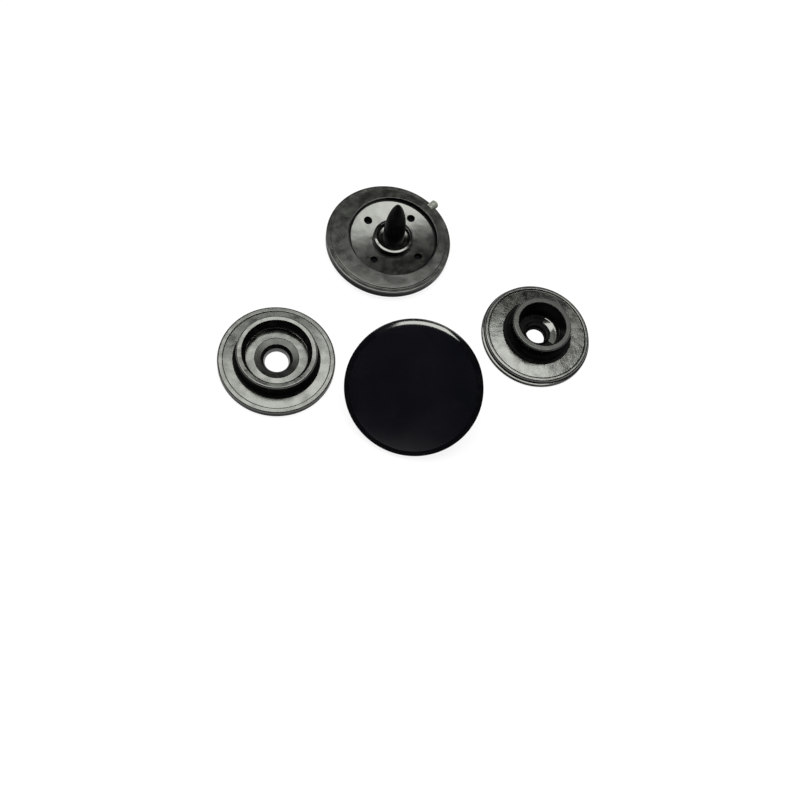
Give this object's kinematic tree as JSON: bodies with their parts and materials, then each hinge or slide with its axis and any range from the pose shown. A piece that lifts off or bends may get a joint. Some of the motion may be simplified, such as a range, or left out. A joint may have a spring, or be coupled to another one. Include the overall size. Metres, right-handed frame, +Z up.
{
  "type": "snap fastener",
  "caption": "Press snap fastener in black moulded resin, as loose pieces: spiked caps, a socket with a snap bead and a stud with a flared barrel.",
  "frame": {"origin": "middle of the plan of the laid out set, on the table", "axes": "+Z up from the table, +X along the long side of the set from the socket towards the stud, +Y towards the cap that lies spike up"},
  "size_m": [0.0358, 0.0288, 0.0082],
  "materials": {
    "gloss_black_resin": "polished moulded resin, near black",
    "satin_black_resin": "moulded resin with a soft gloss, near black"
  },
  "bodies": {
    "root": {"cap_face_up": "gloss_black_resin", "cap_spike_up": "satin_black_resin", "stud": "satin_black_resin", "socket": "satin_black_resin"}
  },
  "joints": []
}
